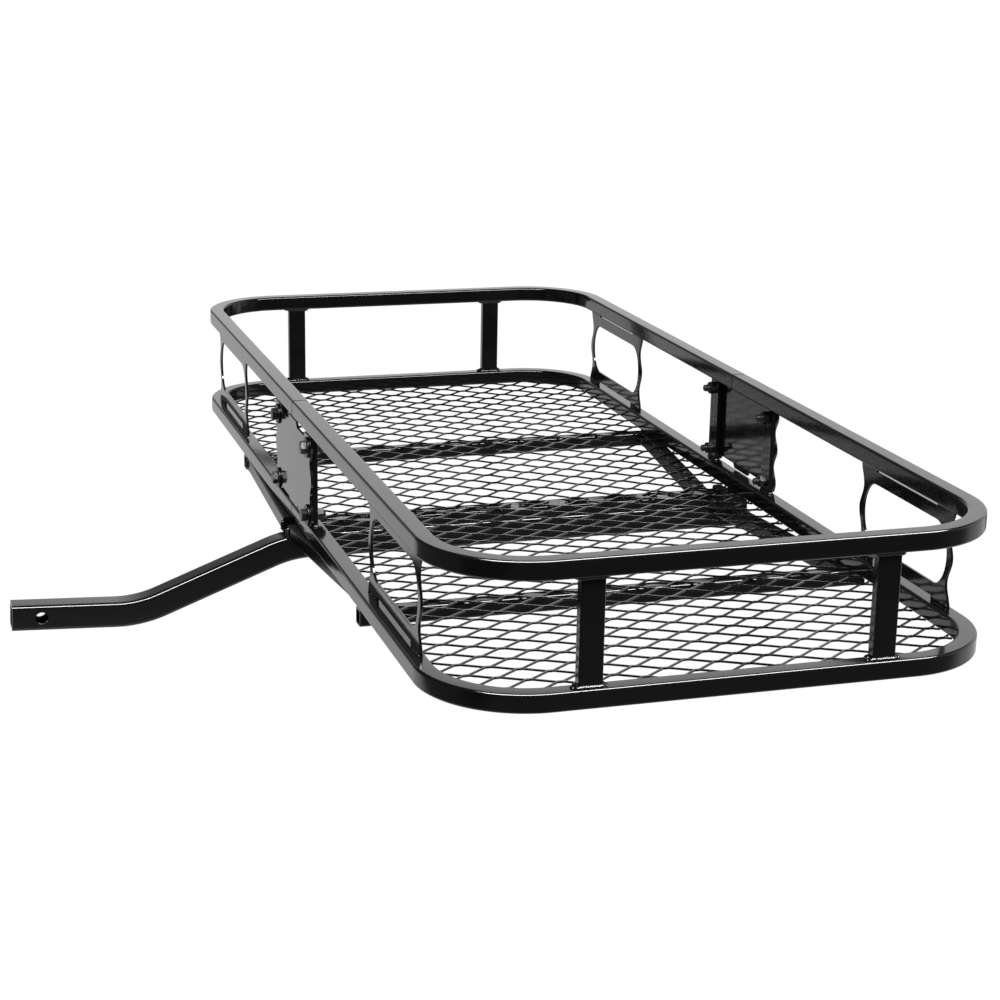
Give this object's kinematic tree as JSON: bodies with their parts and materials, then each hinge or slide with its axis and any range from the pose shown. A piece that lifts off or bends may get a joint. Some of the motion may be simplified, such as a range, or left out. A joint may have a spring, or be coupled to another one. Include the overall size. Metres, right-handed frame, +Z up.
{
  "type": "hitch cargo carrier",
  "caption": "Rectangular tube-rail cargo basket with an expanded-metal floor, carried by a bent square bar that slides into a vehicle's hitch receiver.",
  "frame": {"origin": "centre of the hitch pin hole, on the centre line of the bar's raked end", "axes": "+Y rearwards, away from the vehicle, level along the bar's run under the basket; +Z up; +X to the vehicle's left, along the basket's length and the pin hole's axis"},
  "size_m": [1.39, 0.9595, 0.2706],
  "materials": {
    "black_powder_coat": "smooth semi-gloss black powder coat",
    "black_zinc": "glossy black zinc plating"
  },
  "bodies": {
    "root": {"hitch_bar": "black_powder_coat", "left_upper_rail": "black_powder_coat", "left_lower_rail": "black_powder_coat", "left_floor": "black_powder_coat", "left_floor_bar": "black_powder_coat", "left_cross_tube": "black_powder_coat", "left_front_end_post": "black_powder_coat", "left_front_corner_bracket": "black_powder_coat", "left_front_middle_post": "black_powder_coat", "left_front_brace": "black_powder_coat", "frame_bolt_left_front": "black_zinc", "left_rear_end_post": "black_powder_coat", "left_rear_corner_bracket": "black_powder_coat", "left_rear_middle_post": "black_powder_coat", "left_rear_brace": "black_powder_coat", "frame_bolt_left_rear": "black_zinc", "right_upper_rail": "black_powder_coat", "right_lower_rail": "black_powder_coat", "right_floor": "black_powder_coat", "right_floor_bar": "black_powder_coat", "right_cross_tube": "black_powder_coat", "right_front_end_post": "black_powder_coat", "right_front_corner_bracket": "black_powder_coat", "right_front_middle_post": "black_powder_coat", "right_front_brace": "black_powder_coat", "frame_bolt_right_front": "black_zinc", "right_rear_end_post": "black_powder_coat", "right_rear_corner_bracket": "black_powder_coat", "right_rear_middle_post": "black_powder_coat", "right_rear_brace": "black_powder_coat", "frame_bolt_right_rear": "black_zinc", "front_joining_plate": "black_powder_coat", "bolt_front_left_low": "black_zinc", "nut_front_left_low": "black_zinc", "washer_front_left_low": "black_zinc", "bolt_front_left_high": "black_zinc", "nut_front_left_high": "black_zinc", "washer_front_left_high": "black_zinc", "bolt_front_right_low": "black_zinc", "nut_front_right_low": "black_zinc", "washer_front_right_low": "black_zinc", "bolt_front_right_high": "black_zinc", "nut_front_right_high": "black_zinc", "washer_front_right_high": "black_zinc", "rear_joining_plate": "black_powder_coat", "bolt_rear_left_low": "black_zinc", "nut_rear_left_low": "black_zinc", "bolt_rear_left_high": "black_zinc", "nut_rear_left_high": "black_zinc", "bolt_rear_right_low": "black_zinc", "nut_rear_right_low": "black_zinc", "bolt_rear_right_high": "black_zinc", "nut_rear_right_high": "black_zinc"}
  },
  "joints": []
}
